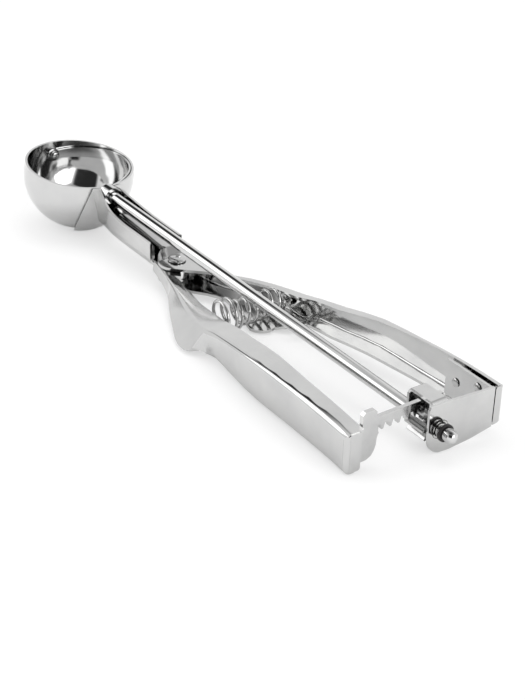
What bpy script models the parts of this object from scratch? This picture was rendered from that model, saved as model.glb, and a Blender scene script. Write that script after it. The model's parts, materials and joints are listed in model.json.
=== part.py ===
"""A squeeze-handle portion scoop, modelled in metres with +Z up.

The pieces are built in the frame of the drive shaft: its axis is X, the bowl's centre is at
X = 0, and the hand end is towards +X. The whole scoop then hangs on one tilted empty, so that
it lies on the bowl's underside and on the heels of its two handles.
"""

import math

import bmesh
import bpy
from mathutils import Matrix, Vector

# Clearance between two pieces that touch, and running room round a shaft
SEAT_GAP = 0.0003
RUNNING_GAP = 0.0003

# Bowl
BOWL_RADIUS = 0.0203
BOWL_WALL = 0.0008
RIM_HEIGHT = 0.0038
RIM_LEAN_BACK = math.radians(4.2)
RIM_LEAN_SIDE = math.radians(-4.1)

# Drive shaft and what sits on it
SHAFT_RADIUS = 0.0021
STEP_RADIUS = 0.0013
SPIGOT_RADIUS = 0.0009
SPIGOT_HEAD_RADIUS = 0.0018
SPIGOT_HEAD_LENGTH = 0.0007
RING_RADIUS = 0.0028
RING_LENGTH = 0.0008
RING_GROOVE_DEPTH = 0.0005
WASHER_RADIUS = 0.0031
WASHER_LENGTH = 0.0005

# Sweep blade
BLADE_SHEET = 0.0007
BLADE_WIDTH = 0.0042
BLADE_NECK = 0.0030
LUG_RADIUS = 0.0023
BLADE_PIN_RADIUS = 0.0009
BLADE_PIN_HEAD_RADIUS = 0.0018
BLADE_PIN_HEAD = 0.0006
BLADE_WASHER_LENGTH = 0.0004

# Shank: the leaf on the bowl and the trough behind it
SHANK_SHEET = 0.0008
TROUGH_HALF_WIDTH = 0.0065
TROUGH_CENTRE_Z = -0.0066
TROUGH_TOP_Z = -0.0019
NECK_HALF_WIDTH = 0.0037
COLLAR_RADIUS = 0.0036
COLLAR_REAR_X = 0.0247
CRESCENT_GAP = 0.0030
LEAF_TOE_X = 0.0065

# Handle pivot
PIVOT_X = 0.0663
EAR_RADIUS = 0.0066
EAR_TOP_Z = -0.0068
LEVER_EAR_RADIUS = 0.0053
PIVOT_PIN_RADIUS = 0.0016
PIVOT_HEAD_RADIUS = 0.0032
PIVOT_HEAD_HEIGHT = 0.0008
PIVOT_WASHER_RADIUS = 0.0042
PIVOT_WASHER_HEIGHT = 0.0005

# Handles
HANDLE_SHEET = 0.0010
HANDLE_LENGTH = 0.1377
SHAFT_REAR_X = PIVOT_X + HANDLE_LENGTH + 0.0066
LEVER_SHORTER = 0.0015
LEVER_OPEN_ANGLE = math.radians(3.3)
FLOOR_Z = -0.0135
TANG_HALF_WIDTH = 0.0029
TANG_TOP_Z = -0.0034
TANG_FRONT_X = 0.0270
TANG_REAR_X = 0.0590
HEEL_Z = -0.0063
CORNER_RADIUS = 0.0017
REAR_CORNER_RADIUS = 0.0024
END_RADIUS = 0.0018
LIP_WIDTH = 0.0036
LEVER_LIP_WIDTH = 0.0052
GUARD_NOTCH_RADIUS = 0.0038

# Rack, pinion and the bracket that carries the pinion
MODULE = 0.00095
PINION_TEETH = 10
ADDENDUM = 0.00076
DEDENDUM = 0.00115
TOOTH_SHARE = 0.40
PINION_FRONT_X = PIVOT_X + HANDLE_LENGTH - 0.0093
PINION_LENGTH = 0.0079
PINION_PIN_RADIUS = 0.0006
RACK_MID_X = PIVOT_X + HANDLE_LENGTH - 0.0052
RACK_SHEET = 0.0014
RACK_ARM_TOP_Z = 0.0086
RACK_TAB_TOP_Z = 0.0115
RACK_TAB_LEFT_Y = -0.0252
RACK_TAB_RIGHT_Y = -0.0201
RACK_FOOT_Z = -0.0049
RACK_FIRST_TOOTH = -6
RACK_LAST_TOOTH = 1
BRACKET_SHEET = 0.0009
BRACKET_FOLD = 0.0017
BRACKET_HALF_WIDTH = 0.0046
BRACKET_ROOF_LEFT_Y = -0.0034
FRONT_WALL_RADIUS = 0.0040
BRACKET_ROOF_RIGHT_Y = 0.0020
BRACKET_WING_FRONT_X = PIVOT_X + HANDLE_LENGTH - 0.0202
BRACKET_WING_TOP_Z = 0.0069
BRACKET_WING_LOW_Z = -0.0051
BRACKET_WING_Y = 0.0204
BRACKET_CHIN_Y = 0.0040
BRACKET_CHIN_Z = -0.0083
BUSH_WALL = 0.0004
BUSH_RIM = 0.0007
BUSH_FLANGE = 0.0005

# Return spring and its seats
SPRING_X = 0.1070
SPRING_Z = -0.0084
SPRING_WIRE = 0.0011
SPRING_TURNS = 9
SPRING_POINTS_PER_TURN = 10
SEAT_CUP_RADIUS = 0.0021
SEAT_CUP_HEIGHT = 0.0006
SEAT_BOSS_HEIGHT = 0.0024

AROUND = 32

# Values worked out from the ones above
bowl_inner = BOWL_RADIUS - BOWL_WALL
shank_inner = BOWL_RADIUS + SEAT_GAP
shank_outer = shank_inner + SHANK_SHEET
shaft_hole = SHAFT_RADIUS + RUNNING_GAP
blade_outer = bowl_inner - RUNNING_GAP
pitch_radius = MODULE * PINION_TEETH / 2
tooth_pitch = math.pi * MODULE
handle_rear_x = PIVOT_X + HANDLE_LENGTH
lever_rear_x = handle_rear_x - LEVER_SHORTER


def steel(name, value, roughness):
    """A polished steel material, lighter or darker."""
    made = bpy.data.materials.new(name)
    made.use_nodes = True
    shader = made.node_tree.nodes["Principled BSDF"]
    shader.inputs["Base Color"].default_value = (value, value, value, 1.0)
    shader.inputs["Metallic"].default_value = 1.0
    shader.inputs["Roughness"].default_value = roughness
    return made


def clear_scene():
    for old in list(bpy.data.objects):
        bpy.data.objects.remove(old, do_unlink=True)


def empty(name, place, parent=None):
    made = bpy.data.objects.new(name, None)
    made.location = place
    made.parent = parent
    bpy.context.collection.objects.link(made)
    return made


def add_piece(name, bm, parent, material, smooth_angle=35.0):
    """Turns a bmesh in shaft-frame places into an object under its parent."""
    bmesh.ops.remove_doubles(bm, verts=bm.verts, dist=1e-6)
    bmesh.ops.recalc_face_normals(bm, faces=bm.faces)
    carried = parent
    while carried is not None and carried is not scoop:
        bmesh.ops.translate(bm, verts=bm.verts, vec=-carried.location)
        carried = carried.parent
    mesh = bpy.data.meshes.new(name)
    bm.to_mesh(mesh)
    bm.free()
    mesh.shade_smooth()
    mesh.set_sharp_from_angle(angle=math.radians(smooth_angle))
    made = bpy.data.objects.new(name, mesh)
    made.parent = parent
    bpy.context.collection.objects.link(made)
    if material is not None:
        mesh.materials.append(material)
    return made


def combine(piece, other_bm, operation, label):
    """Joins or cuts a piece with a shape that is kept as a hidden guide."""
    guide = add_piece(piece.name + "_" + label, other_bm, piece.parent, None)
    guide.hide_render = True
    guide.display_type = "WIRE"
    step = piece.modifiers.new(label, "BOOLEAN")
    step.operation = operation
    step.solver = "EXACT"
    step.object = guide
    return guide


def turned(profile, around=AROUND, centre=(0.0, 0.0), axis="X"):
    """A solid turned about an axis from (along, radius) points, closed on the axis."""
    bm = bmesh.new()
    points = [bm.verts.new((along, 0.0, radius)) for along, radius in profile]
    edges = [bm.edges.new(pair) for pair in zip(points, points[1:])]
    if profile[0][1] > 0 and profile[-1][1] > 0:
        edges.append(bm.edges.new((points[-1], points[0])))
    bmesh.ops.spin(bm, geom=points + edges, cent=(0, 0, 0), axis=(1, 0, 0),
                   angle=math.tau, steps=around, use_merge=True)
    bmesh.ops.remove_doubles(bm, verts=bm.verts, dist=1e-6)
    if axis == "X":
        bmesh.ops.translate(bm, verts=bm.verts, vec=(0.0, centre[0], centre[1]))
    if axis == "Y":
        bmesh.ops.rotate(bm, verts=bm.verts, cent=(0, 0, 0), matrix=Matrix.Rotation(math.pi / 2, 3, "Z"))
        bmesh.ops.translate(bm, verts=bm.verts, vec=(centre[0], 0.0, centre[1]))
    if axis == "Z":
        bmesh.ops.rotate(bm, verts=bm.verts, cent=(0, 0, 0), matrix=Matrix.Rotation(-math.pi / 2, 3, "Y"))
        bmesh.ops.translate(bm, verts=bm.verts, vec=(centre[0], centre[1], 0.0))
    bmesh.ops.recalc_face_normals(bm, faces=bm.faces)
    return bm


def tube(start, end, inner, outer, **where):
    """A plain sleeve, or a disc where the inner radius is nothing."""
    if inner <= 0:
        return turned([(start, 0), (start, outer), (end, outer), (end, 0)], **where)
    return turned([(start, inner), (start, outer), (end, outer), (end, inner)], **where)


def prism(outline, low, high, plane="XY"):
    """An outline raised between two heights: XY along Z, or YZ along X."""
    bm = bmesh.new()
    if plane == "XY":
        loop = [bm.verts.new((a, b, low)) for a, b in outline]
        lift = Vector((0, 0, high - low))
    else:
        loop = [bm.verts.new((low, a, b)) for a, b in outline]
        lift = Vector((high - low, 0, 0))
    base = bm.faces.new(loop)
    raised = bmesh.ops.extrude_face_region(bm, geom=[base])
    tops = [v for v in raised["geom"] if isinstance(v, bmesh.types.BMVert)]
    bmesh.ops.translate(bm, verts=tops, vec=lift)
    bmesh.ops.recalc_face_normals(bm, faces=bm.faces)
    return bm


def block(low, high):
    outline = [(low[0], low[1]), (high[0], low[1]), (high[0], high[1]), (low[0], high[1])]
    return prism(outline, low[2], high[2])


def arc(centre, radius, start, end, steps):
    """Points on an arc between two angles in degrees."""
    turn = [math.radians(start + (end - start) * i / steps) for i in range(steps + 1)]
    return [(centre[0] + radius * math.cos(t), centre[1] + radius * math.sin(t)) for t in turn]


def rounded(path, radii, steps=4):
    """A 2-D path with its inner corners rounded, for profiles of bent sheet."""
    made = [Vector(path[0])]
    for before, corner, after, radius in zip(path, path[1:], path[2:], radii):
        corner = Vector(corner)
        back = (Vector(before) - corner).normalized()
        on = (Vector(after) - corner).normalized()
        half = back.angle(on) / 2
        reach = radius / math.tan(half)
        centre = corner + (back + on).normalized() * (radius / math.sin(half))
        first = corner + back * reach - centre
        last = corner + on * reach - centre
        sweep = first.angle(last)
        if first.x * last.y - first.y * last.x < 0:
            sweep = -sweep
        for i in range(steps + 1):
            turn = sweep * i / steps
            made.append(centre + Vector((first.x * math.cos(turn) - first.y * math.sin(turn),
                                         first.x * math.sin(turn) + first.y * math.cos(turn))))
    made.append(Vector(path[-1]))
    return made


def offset_path(path, by):
    """The same 2-D path moved sideways by a distance, to its left for a positive one."""
    points = [Vector(p) for p in path]
    sides = []
    for a, b in zip(points, points[1:]):
        run = (b - a).normalized()
        sides.append(Vector((-run.y, run.x)))
    made = [points[0] + sides[0] * by]
    for point, one, two in zip(points[1:], sides, sides[1:]):
        made.append(point + (one + two) * (by / (1 + one.dot(two))))
    made.append(points[-1] + sides[-1] * by)
    return made


def slope_between(before, after):
    """A slope that never overshoots: none where the value turns round."""
    if before * after <= 0:
        return 0.0
    return 2 * before * after / (before + after)


def smooth_row(rows, x):
    """Reads a table of stations at x, on curves that pass through every row."""
    last = len(rows) - 2
    i = min(max([k for k in range(len(rows)) if rows[k][0] <= x], default=0), last)
    a, b = rows[i], rows[i + 1]
    span = b[0] - a[0]
    t = min(max((x - a[0]) / span, 0.0), 1.0)
    made = []
    for k in range(1, len(a)):
        here = (b[k] - a[k]) / span
        start = finish = here
        if i > 0:
            start = slope_between((a[k] - rows[i - 1][k]) / (a[0] - rows[i - 1][0]), here)
        if i < last:
            finish = slope_between(here, (rows[i + 2][k] - b[k]) / (rows[i + 2][0] - b[0]))
        made.append((2 * t**3 - 3 * t**2 + 1) * a[k] + (t**3 - 2 * t**2 + t) * start * span
                    + (3 * t**2 - 2 * t**3) * b[k] + (t**3 - t**2) * finish * span)
    return made


def pressed_channel(stations, section, sheet, side):
    """A closed shell of bent sheet: channel sections lofted along X, walls inwards."""
    bm = bmesh.new()
    rings = []
    for x in stations:
        path, radii = section(x)
        outer = rounded(path, radii)
        inner = rounded(offset_path(path, sheet * side), [max(r - sheet, 0.0002) for r in radii])
        rings.append([bm.verts.new((x, y, z)) for y, z in outer + inner[::-1]])
    count = len(rings[0])
    for ring, following in zip(rings, rings[1:]):
        for k in range(count):
            n = (k + 1) % count
            bm.faces.new((ring[k], ring[n], following[n], following[k]))
    for ring in (rings[0], rings[-1]):
        for k in range(count // 2 - 1):
            bm.faces.new((ring[k], ring[k + 1], ring[-k - 2], ring[-k - 1]))
    return bm


def rim_frame():
    """The bowl's own axis: it leans back towards the handles and to one side."""
    return Matrix.Rotation(RIM_LEAN_BACK, 3, "Y") @ Matrix.Rotation(RIM_LEAN_SIDE, 3, "X")


def build_bowl():
    rise = math.asin(RIM_HEIGHT / BOWL_RADIUS)
    inner_rise = math.asin(RIM_HEIGHT / bowl_inner)
    steps = 12
    outside = [(-BOWL_RADIUS * math.cos(t), BOWL_RADIUS * math.sin(t))
               for t in [(math.pi / 2 + rise) * i / steps for i in range(steps + 1)]]
    inside = [(-bowl_inner * math.cos(t), bowl_inner * math.sin(t))
              for t in [(math.pi / 2 + inner_rise) * i / steps for i in range(steps, -1, -1)]]
    bm = turned(outside + inside, around=48, axis="Z")
    bmesh.ops.rotate(bm, verts=bm.verts, cent=(0, 0, 0), matrix=rim_frame())
    bowl = add_piece("bowl", bm, scoop, STEEL)
    pin_hole = BLADE_PIN_RADIUS + RUNNING_GAP
    step_hole = STEP_RADIUS + RUNNING_GAP
    combine(bowl, tube(bowl_inner / 2, BOWL_RADIUS * 1.2, 0, step_hole, around=20), "DIFFERENCE", "shaft_hole")
    combine(bowl, tube(-BOWL_RADIUS * 1.2, -bowl_inner / 2, 0, pin_hole, around=16), "DIFFERENCE", "pin_hole")


def trough_section(x):
    """Outer outline of the trough's sheet: narrow and high at the neck, full width behind."""
    rows = [
        (0.0120, NECK_HALF_WIDTH, RIM_HEIGHT),
        (0.0180, NECK_HALF_WIDTH, RIM_HEIGHT - 0.0005),
        (0.0220, NECK_HALF_WIDTH + 0.0006, 0.0022),
        (0.0260, NECK_HALF_WIDTH + 0.0014, 0.0006),
        (0.0300, TROUGH_HALF_WIDTH - 0.0006, -0.0005),
        (0.0360, TROUGH_HALF_WIDTH - 0.0001, TROUGH_TOP_Z + 0.0004),
        (0.0420, TROUGH_HALF_WIDTH, TROUGH_TOP_Z),
        (PIVOT_X, TROUGH_HALF_WIDTH, TROUGH_TOP_Z),
    ]
    half, top = smooth_row(rows, x)
    return half, top


def build_shank():
    """A spherical leaf cut by two seam planes, joined to the lofted trough behind it."""
    leaf = bmesh.new()
    bmesh.ops.create_uvsphere(leaf, u_segments=48, v_segments=32, radius=shank_outer,
                              matrix=Matrix.Rotation(math.pi / 2, 4, "Y"))
    shank = add_piece("shank", leaf, scoop, STEEL)
    wedge = block((LEAF_TOE_X, -0.03, -0.03), (0.03, 0.03, 0.03))
    for side in (-1.0, 1.0):
        seam = Vector((0.62, side * 0.674, -0.402))
        keep = wedge.verts[:] + wedge.edges[:] + wedge.faces[:]
        cut = bmesh.ops.bisect_plane(wedge, geom=keep, plane_co=seam * 0.00733, plane_no=seam, clear_inner=True)
        edges = [e for e in cut["geom_cut"] if isinstance(e, bmesh.types.BMEdge)]
        bmesh.ops.holes_fill(wedge, edges=edges)
    combine(shank, wedge, "INTERSECT", "leaf_outline")

    trough = bmesh.new()
    rings = []
    for x in (0.0120, 0.0155, 0.0190, 0.0220, 0.0240, 0.0270, 0.0300, 0.0330, 0.0360, 0.0420, 0.0530, PIVOT_X):
        half, top = trough_section(x)
        outer, inner = [], []
        for made, wide, under in ((outer, half, TROUGH_HALF_WIDTH),
                                  (inner, half - SHANK_SHEET, TROUGH_HALF_WIDTH - SHANK_SHEET)):
            curve = [(wide * math.cos(t), TROUGH_CENTRE_Z + under * math.sin(t))
                     for t in [math.pi + math.pi * i / 12 for i in range(13)]]
            made += [(-wide, top)] + curve + [(wide, top)]
        rings.append([trough.verts.new((x, y, z)) for y, z in outer + inner[::-1]])
    count = len(rings[0])
    for ring, following in zip(rings, rings[1:]):
        for k in range(count):
            n = (k + 1) % count
            trough.faces.new((ring[k], ring[n], following[n], following[k]))
    for ring in (rings[0], rings[-1]):
        for k in range(count // 2 - 1):
            trough.faces.new((ring[k], ring[k + 1], ring[-k - 2], ring[-k - 1]))
    combine(shank, trough, "UNION", "trough")
    above = block((-0.03, -0.03, RIM_HEIGHT), (0.06, 0.03, RIM_HEIGHT + 0.03))
    bmesh.ops.rotate(above, verts=above.verts, cent=(0, 0, 0), matrix=rim_frame())
    combine(shank, above, "DIFFERENCE", "rim_trim")
    combine(shank, tube(bowl_inner, COLLAR_REAR_X, 0, COLLAR_RADIUS, around=24), "UNION", "collar")
    ball = bmesh.new()
    bmesh.ops.create_uvsphere(ball, u_segments=48, v_segments=32, radius=shank_inner,
                              matrix=Matrix.Rotation(math.pi / 2, 4, "Y"))
    combine(shank, ball, "DIFFERENCE", "bowl_room")
    combine(shank, tube(0.0, COLLAR_REAR_X * 1.2, 0, shaft_hole, around=20), "DIFFERENCE", "shaft_room")
    round_end = tube(TROUGH_CENTRE_Z * 3, -TROUGH_CENTRE_Z, 0, EAR_RADIUS + CRESCENT_GAP,
                     around=48, centre=(PIVOT_X, 0.0), axis="Z")
    combine(shank, round_end, "DIFFERENCE", "crescent")


def handle_rows():
    """Stations of the fixed handle: x, outer y, top z, bottom z, top inner y, bottom inner y."""
    length = HANDLE_LENGTH
    ear_y = EAR_RADIUS + 0.0003
    past_ear = -EAR_RADIUS - 0.0010
    return [
        (TANG_FRONT_X, ear_y, TANG_TOP_Z, FLOOR_Z, past_ear, past_ear),
        (TANG_REAR_X, ear_y, TANG_TOP_Z - 0.0008, FLOOR_Z, past_ear, past_ear),
        (PIVOT_X - 0.0025, ear_y, EAR_TOP_Z, FLOOR_Z, past_ear, past_ear),
        (PIVOT_X, ear_y, EAR_TOP_Z, FLOOR_Z, past_ear, past_ear),
        (PIVOT_X + 0.06 * length, ear_y + 0.0006, EAR_TOP_Z, FLOOR_Z, -0.0010, past_ear),
        (PIVOT_X + 0.12 * length, 0.0098, EAR_TOP_Z, FLOOR_Z, 0.0066, past_ear),
        (PIVOT_X + 0.18 * length, 0.0146, EAR_TOP_Z + 0.0004, FLOOR_Z, 0.0109, past_ear),
        (PIVOT_X + 0.25 * length, 0.0183, EAR_TOP_Z + 0.0013, FLOOR_Z, 0.0144, past_ear),
        (PIVOT_X + 0.35 * length, 0.0203, -0.0034, FLOOR_Z, 0.0158, past_ear),
        (PIVOT_X + 0.41 * length, 0.0204, -0.0012, -0.0098, 0.0165, 0.0135),
        (PIVOT_X + 0.50 * length, 0.0213, 0.0012, -0.0087, 0.0167, 0.0142),
        (PIVOT_X + 0.62 * length, 0.0228, 0.0045, -0.0070, 0.0190, 0.0158),
        (PIVOT_X + 0.75 * length, 0.0235, 0.0061, -0.0068, 0.0207, 0.0180),
        (PIVOT_X + 0.88 * length, 0.0242, 0.0073, -0.0065, 0.0214, 0.0198),
        (PIVOT_X + 0.97 * length, 0.0245, 0.0074, -0.0064, 0.0216, 0.0209),
        (PIVOT_X + length, 0.0245, 0.0074, HEEL_Z, 0.0216, 0.0212),
    ]


def corner_radius(x):
    """The bends of a handle open out towards its rear end."""
    share = (x - PIVOT_X) / HANDLE_LENGTH
    opened = min(max((share - 0.60) / 0.30, 0.0), 1.0)
    return CORNER_RADIUS + (REAR_CORNER_RADIUS - CORNER_RADIUS) * opened


def fixed_section(x):
    outer, top, bottom, top_in, bottom_in = smooth_row(handle_rows(), x)
    path = [(top_in, top), (outer, top), (outer, bottom), (bottom_in, bottom)]
    radius = corner_radius(x)
    return path, (radius, radius)


def end_lip(section, rear_x, way, lip_width):
    """The sheet folded across the rear end of a handle."""
    path, _ = section(rear_x)
    outer = path[1][0]
    top, bottom = path[1][1] - HANDLE_SHEET / 2, path[2][1] + HANDLE_SHEET / 2
    inner = outer - way * lip_width
    soft = 0.0008
    corner = [(inner, bottom + soft), (inner, top - soft)]
    corner += [(inner + way * soft * 0.3, top - soft * 0.3), (inner + way * soft, top)]
    bend = REAR_CORNER_RADIUS
    for height, start in ((path[1][1] - bend, 90), (path[2][1] + bend, 0)):
        turn = arc((0.0, height), bend - HANDLE_SHEET / 2, start, start - 90, 5)
        corner += [(outer - way * bend + way * side, z) for side, z in turn]
    corner += [(inner + way * soft, bottom), (inner + way * soft * 0.3, bottom + soft * 0.3)]
    return prism(corner, rear_x - HANDLE_SHEET, rear_x, plane="YZ")


def rounded_rear(rear_x, side_y, way):
    """The part of a handle's rear corner that the rounding takes away."""
    centre = (rear_x - END_RADIUS, side_y - way * END_RADIUS)
    turn = arc(centre, END_RADIUS, way * 10, way * 80, 5)
    far = 0.002
    return turn + [(turn[-1][0], side_y + way * far), (rear_x + far, side_y + way * far), (rear_x + far, turn[0][1])]


def build_fixed_handle():
    length = HANDLE_LENGTH
    stations = [TANG_FRONT_X, 0.043, TANG_REAR_X, 0.0602, 0.0615, 0.0628, PIVOT_X - 0.0025, PIVOT_X]
    stations += [PIVOT_X + length * share for share in
                 (0.03, 0.06, 0.09, 0.12, 0.15, 0.18, 0.215, 0.25, 0.30, 0.35, 0.38, 0.41, 0.455, 0.50, 0.56,
                  0.62, 0.685, 0.75, 0.815, 0.88, 0.94, 0.998)]
    shell = pressed_channel(stations, fixed_section, HANDLE_SHEET, -1)
    handle = add_piece("fixed_handle", shell, scoop, STEEL)
    pivot = (PIVOT_X, 0.0)
    tang_meets = math.degrees(math.asin(TANG_HALF_WIDTH / EAR_RADIUS))
    far, near = 0.04, -0.03
    front, rear = TANG_FRONT_X - 0.005, PIVOT_X + 0.030
    split = (EAR_TOP_Z + FLOOR_Z) / 2
    outside = [(front, far), (front, near), (rear, near), (rear, 0.010), (PIVOT_X + 0.0171, 0.0080),
               (PIVOT_X + 0.0131, 0.0045)]
    outside += arc(pivot, EAR_RADIUS, -40, -180 + tang_meets, 14)
    top_trim = outside + [(front + 0.001, -TANG_HALF_WIDTH), (front + 0.001, TANG_HALF_WIDTH)]
    top_trim += arc(pivot, EAR_RADIUS, 180 - tang_meets, 90, 8) + [(PIVOT_X, far)]
    combine(handle, prism(top_trim, split, 0.02), "DIFFERENCE", "top_outline")
    floor_rear = PIVOT_X + 0.0568
    floor_trim = [(front, far), (front, near), (floor_rear, near), (floor_rear, 0.0135),
                  (floor_rear - 0.0040, 0.0134), (floor_rear - 0.0052, 0.0125), (floor_rear - 0.0056, 0.0105)]
    floor_trim += arc((PIVOT_X + 0.0432, 0.0051), 0.0050, 25, -85, 8)
    floor_trim += [(PIVOT_X + 0.0370, 0.0018), (PIVOT_X + 0.0310, 0.0036), (PIVOT_X + 0.0236, 0.0042),
                   (PIVOT_X + 0.0200, 0.0032), (PIVOT_X + 0.0167, 0.0013), (PIVOT_X + 0.0120, -0.0024)]
    floor_trim += arc(pivot, EAR_RADIUS, -45, -270, 16) + [(PIVOT_X, far)]
    combine(handle, prism(floor_trim, -0.02, split), "DIFFERENCE", "floor_outline")
    combine(handle, end_lip(fixed_section, handle_rear_x, 1, LIP_WIDTH), "UNION", "lip")
    side = fixed_section(handle_rear_x)[0][1][0]
    combine(handle, prism(rounded_rear(handle_rear_x, side, 1), -0.02, 0.02), "DIFFERENCE", "rear_round")
    drill_pivot(handle)

    # The tang is an upside-down channel, so it gets a leg on each side
    room = trough_section(TANG_FRONT_X)[0] - SHANK_SHEET
    depth = (TROUGH_HALF_WIDTH - SHANK_SHEET) * math.sqrt(1 - (TANG_HALF_WIDTH / room)**2)
    leg_foot = TROUGH_CENTRE_Z - depth
    for way, label in ((-1, "near_leg"), (1, "far_leg")):
        edges = sorted((way * TANG_HALF_WIDTH, way * (TANG_HALF_WIDTH - HANDLE_SHEET)))
        low = (TANG_FRONT_X, edges[0], leg_foot + SEAT_GAP)
        high = (TANG_REAR_X - 0.004, edges[1], TANG_TOP_Z - HANDLE_SHEET * 0.9)
        combine(handle, block(low, high), "UNION", label)


def drill_pivot(piece):
    hole = tube(-0.03, 0.0, 0, PIVOT_PIN_RADIUS + RUNNING_GAP, around=20, centre=(PIVOT_X, 0.0), axis="Z")
    combine(piece, hole, "DIFFERENCE", "pivot_hole")


def lever_rows():
    """Stations of the lever before it swings open, with sizes outwards from the shaft:
    x, top corner y, top z, bottom corner y, bottom z, top inner y, bottom inner y, corner radius."""
    length = HANDLE_LENGTH - LEVER_SHORTER
    ear_top = EAR_TOP_Z - HANDLE_SHEET - SEAT_GAP
    sole = FLOOR_Z + HANDLE_SHEET + 2 * SEAT_GAP
    hem = 0.0018
    return [
        (PIVOT_X - LEVER_EAR_RADIUS, 0.0062, ear_top, 0.0066, sole, -EAR_RADIUS, 0.0066 - hem, 0.0012),
        (PIVOT_X, 0.0066, ear_top, 0.0076, sole, -EAR_RADIUS, 0.0076 - hem, 0.0012),
        (PIVOT_X + 0.045 * length, 0.0078, ear_top, 0.0091, sole, -EAR_RADIUS, 0.0091 - hem, 0.0014),
        (PIVOT_X + 0.095 * length, 0.0092, ear_top + 0.0001, 0.0114, sole, 0.0060, 0.0114 - hem, 0.0016),
        (PIVOT_X + 0.140 * length, 0.0107, ear_top + 0.0005, 0.0146, sole, 0.0066, 0.0146 - hem, 0.0022),
        (PIVOT_X + 0.181 * length, 0.0124, ear_top + 0.0009, 0.0174, sole, 0.0075, 0.0174 - hem, 0.0026),
        (PIVOT_X + 0.230 * length, 0.0144, -0.0065, 0.0204, sole + 0.0001, 0.0087, 0.0204 - hem, 0.0030),
        (PIVOT_X + 0.278 * length, 0.0165, -0.0054, 0.0232, sole + 0.0002, 0.0094, 0.0232 - hem, 0.0032),
        (PIVOT_X + 0.300 * length, 0.0174, -0.0049, 0.0243, sole + 0.0003, 0.0097, 0.0243 - hem, 0.0032),
        (PIVOT_X + 0.322 * length, 0.0183, -0.0043, 0.0250, sole + 0.0004, 0.0101, 0.0250 - hem, 0.0031),
        (PIVOT_X + 0.345 * length, 0.0190, -0.0036, 0.0251, sole + 0.0007, 0.0106, 0.0251 - hem, 0.0029),
        (PIVOT_X + 0.368 * length, 0.0196, -0.0028, 0.0238, sole + 0.0013, 0.0110, 0.0238 - hem, 0.0026),
        (PIVOT_X + 0.392 * length, 0.0200, -0.0019, 0.0217, sole + 0.0020, 0.0113, 0.0217 - hem, 0.0024),
        (PIVOT_X + 0.418 * length, 0.0203, -0.0010, 0.0204, -0.0095, 0.0116, 0.0184, 0.0022),
        (PIVOT_X + 0.455 * length, 0.0207, 0.0001, 0.0207, -0.0095, 0.0121, 0.0150, 0.0018),
        (PIVOT_X + 0.520 * length, 0.0213, 0.0017, 0.0213, -0.0096, 0.0130, 0.0142, CORNER_RADIUS),
        (PIVOT_X + 0.640 * length, 0.0230, 0.0048, 0.0230, -0.0086, 0.0146, 0.0158, CORNER_RADIUS),
        (PIVOT_X + 0.770 * length, 0.0233, 0.0062, 0.0233, -0.0076, 0.0162, 0.0180, 0.0019),
        (PIVOT_X + 0.900 * length, 0.0239, 0.0074, 0.0239, -0.0065, 0.0175, 0.0198, REAR_CORNER_RADIUS),
        (PIVOT_X + length, 0.0240, 0.0075, 0.0240, HEEL_Z, 0.0180, 0.0206, REAR_CORNER_RADIUS),
    ]


def lever_section(x):
    top_y, top, sole_y, sole, top_in, sole_in, radius = smooth_row(lever_rows(), x)
    path = [(-top_in, top), (-top_y, top), (-sole_y, sole), (-sole_in, sole)]
    share = min(max((sole_y - sole_in - 0.0018) / 0.002, 0.0), 1.0)
    return path, (radius, 0.0004 + (corner_radius(x) - 0.0004) * share)


def swing_open(bm):
    bmesh.ops.rotate(bm, verts=bm.verts, cent=(PIVOT_X, 0, 0), matrix=Matrix.Rotation(-LEVER_OPEN_ANGLE, 3, "Z"))
    return bm


def build_lever_handle():
    length = HANDLE_LENGTH - LEVER_SHORTER
    stations = [PIVOT_X - LEVER_EAR_RADIUS, PIVOT_X]
    stations += [PIVOT_X + length * share for share in
                 (0.0225, 0.045, 0.07, 0.095, 0.1175, 0.14, 0.16, 0.181, 0.205, 0.23, 0.254, 0.278, 0.29, 0.30,
                  0.311, 0.322, 0.334, 0.345, 0.357, 0.368, 0.38, 0.392, 0.405, 0.418, 0.436, 0.455, 0.4875,
                  0.52, 0.58, 0.64, 0.705, 0.77,
                  0.835, 0.90, 0.95, 0.998)]
    shell = swing_open(pressed_channel(stations, lever_section, HANDLE_SHEET, 1))
    handle = add_piece("lever_handle", shell, lever, STEEL)
    ear, edge = LEVER_EAR_RADIUS, HANDLE_SHEET + 0.0004 - EAR_RADIUS
    outline = [(PIVOT_X - 2 * ear, edge), (PIVOT_X - ear, edge)]
    outline += arc((PIVOT_X, 0.0), ear, 180, -20, 18)
    outline += [(PIVOT_X + 2 * ear, edge), (PIVOT_X + 3 * ear, edge), (PIVOT_X + 3 * ear, 3 * ear),
                (PIVOT_X - 2 * ear, 3 * ear)]
    combine(handle, prism(outline, -0.02, 0.0), "DIFFERENCE", "ear_outline")
    notch = tube(-0.02, -0.0092, 0, GUARD_NOTCH_RADIUS, around=24, axis="Z",
                 centre=(PIVOT_X + 0.3930 * length, -0.0243))
    combine(handle, swing_open(notch), "DIFFERENCE", "guard_notch")
    lip = swing_open(end_lip(lever_section, lever_rear_x, -1, LEVER_LIP_WIDTH))
    combine(handle, lip, "UNION", "lip")
    side = lever_section(lever_rear_x)[0][1][0]
    corner = swing_open(prism(rounded_rear(lever_rear_x, side, -1), -0.02, 0.02))
    combine(handle, corner, "DIFFERENCE", "rear_round")
    drill_pivot(handle)


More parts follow.
